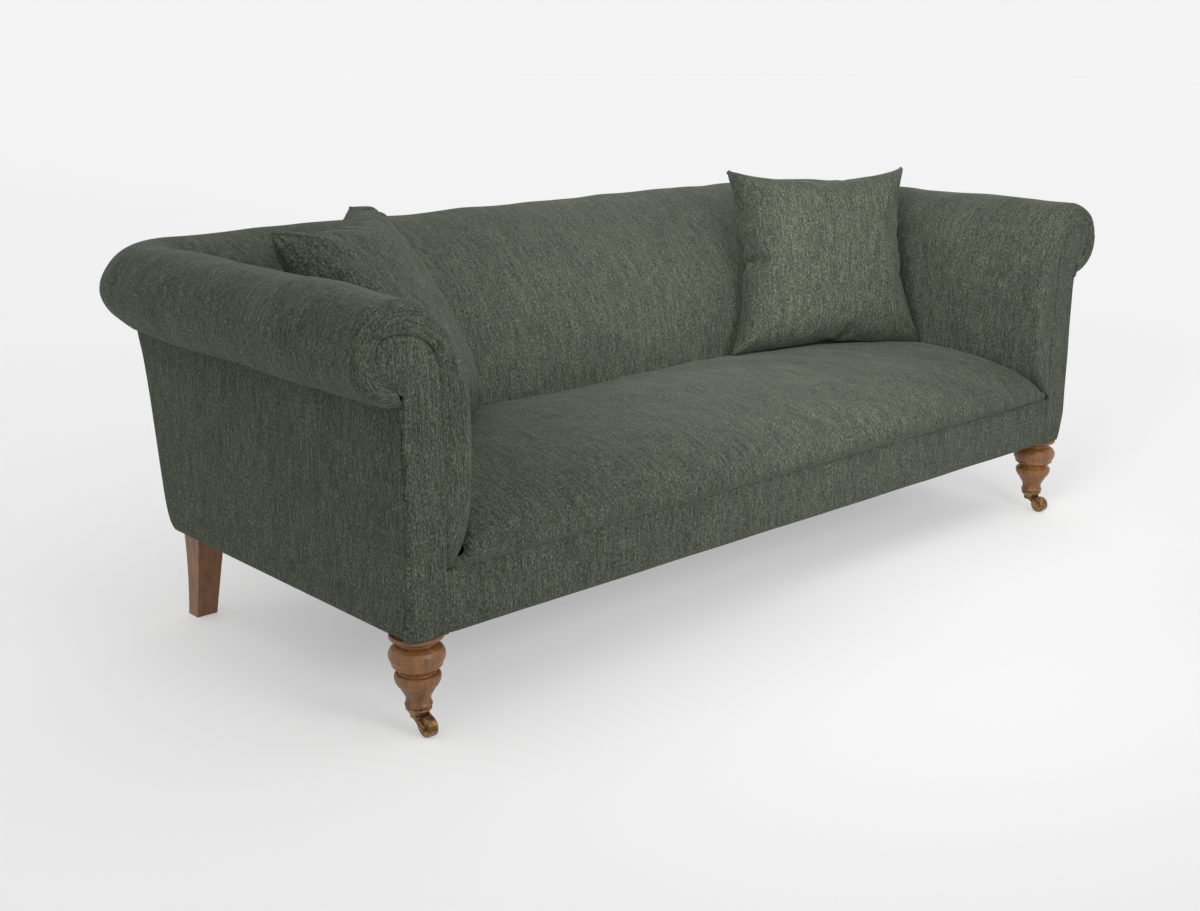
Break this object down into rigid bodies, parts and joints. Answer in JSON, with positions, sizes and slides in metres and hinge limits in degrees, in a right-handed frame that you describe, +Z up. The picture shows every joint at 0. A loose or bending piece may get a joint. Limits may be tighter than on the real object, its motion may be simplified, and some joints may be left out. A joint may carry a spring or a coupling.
{
  "type": "english roll arm sofa",
  "caption": "Tight-seat sofa with rolled arms and back, scrolled front facings, turned front legs on brass cup casters, raked square rear legs and loose scatter cushions.",
  "frame": {"origin": "on the floor under the middle of the whole sofa's box", "axes": "+X towards the viewer's right along the seat, +Y from the front to the back, +Z up"},
  "size_m": [2.242, 1.0705, 0.864],
  "materials": {
    "upholstery": "heathered green-grey woven cloth",
    "stuffing": "felted fibre filling",
    "hessian": "coarse jute",
    "webbing": "woven jute straps",
    "dust_cloth": "black bonded cloth",
    "frame_wood": "planed beech",
    "leg_wood": "waxed warm brown",
    "brass": "antique",
    "steel": "bright drawn",
    "tie_wire": "paper wrapped"
  },
  "bodies": {
    "root": {"arm_cover_left": "upholstery", "arm_cover_right": "upholstery", "arm_facing_left": "upholstery", "arm_facing_right": "upholstery", "arm_front_post_left": "frame_wood", "arm_front_post_right": "frame_wood", "arm_pad_left": "stuffing", "arm_pad_right": "stuffing", "arm_tack_rails": "frame_wood", "arm_top_rails": "frame_wood", "arm_webbing": "webbing", "back_cover": "upholstery", "back_pad": "stuffing", "back_post_left": "frame_wood", "back_post_right": "frame_wood", "back_rail": "frame_wood", "back_tack_rail": "frame_wood", "back_top_rail": "frame_wood", "back_uprights": "frame_wood", "back_webbing": "webbing", "caster_cup_left": "brass", "caster_cup_right": "brass", "corner_blocks": "frame_wood", "corner_roll_cover_left": "upholstery", "corner_roll_cover_right": "upholstery", "corner_roll_pad_left": "stuffing", "corner_roll_pad_right": "stuffing", "dust_cover": "dust_cloth", "frame_screws": "steel", "front_border": "upholstery", "front_leg_left": "leg_wood", "front_leg_right": "leg_wood", "front_rail": "frame_wood", "leg_plates": "steel", "leg_studs": "steel", "outside_arm_left": "upholstery", "outside_arm_right": "upholstery", "outside_back": "upholstery", "rear_leg_left": "leg_wood", "rear_leg_right": "leg_wood", "seat_cover": "upholstery", "seat_cross_rails": "frame_wood", "seat_hessian": "hessian", "seat_pad": "stuffing", "seat_springs": "steel", "side_rail_left": "frame_wood", "side_rail_right": "frame_wood", "spring_clips": "steel", "spring_tie_wires": "tie_wire"},
    "caster_left": {"caster_fork_left": "brass", "caster_axle_left": "brass"},
    "wheel_left": {"caster_wheel_left": "brass"},
    "scatter_cushion_left": {"cushion_cover_left": "upholstery", "cushion_pad_left": "stuffing"},
    "caster_right": {"caster_fork_right": "brass", "caster_axle_right": "brass"},
    "wheel_right": {"caster_wheel_right": "brass"},
    "scatter_cushion_right": {"cushion_cover_right": "upholstery", "cushion_pad_right": "stuffing"}
  },
  "joints": [
    {"name": "caster_swivel_left", "type": "hinge", "parent": "root", "child": "caster_left", "pos_m": [-0.98, -0.4675, 0.0337], "axis": [0, 0, 1], "continuous": true},
    {"name": "caster_roll_left", "type": "hinge", "parent": "caster_left", "child": "wheel_left", "pos_m": [-0.98, -0.4945, 0.0192], "axis": [1, 0, 0], "continuous": true},
    {"name": "cushion_lift_left", "type": "slide", "parent": "root", "child": "scatter_cushion_left", "axis": [0, 0, 1], "range_m": [0, 0.4]},
    {"name": "caster_swivel_right", "type": "hinge", "parent": "root", "child": "caster_right", "pos_m": [0.98, -0.4675, 0.0337], "axis": [0, 0, 1], "continuous": true},
    {"name": "caster_roll_right", "type": "hinge", "parent": "caster_right", "child": "wheel_right", "pos_m": [0.98, -0.4945, 0.0192], "axis": [1, 0, 0], "continuous": true},
    {"name": "cushion_lift_right", "type": "slide", "parent": "root", "child": "scatter_cushion_right", "axis": [0, 0, 1], "range_m": [0, 0.4]}
  ]
}
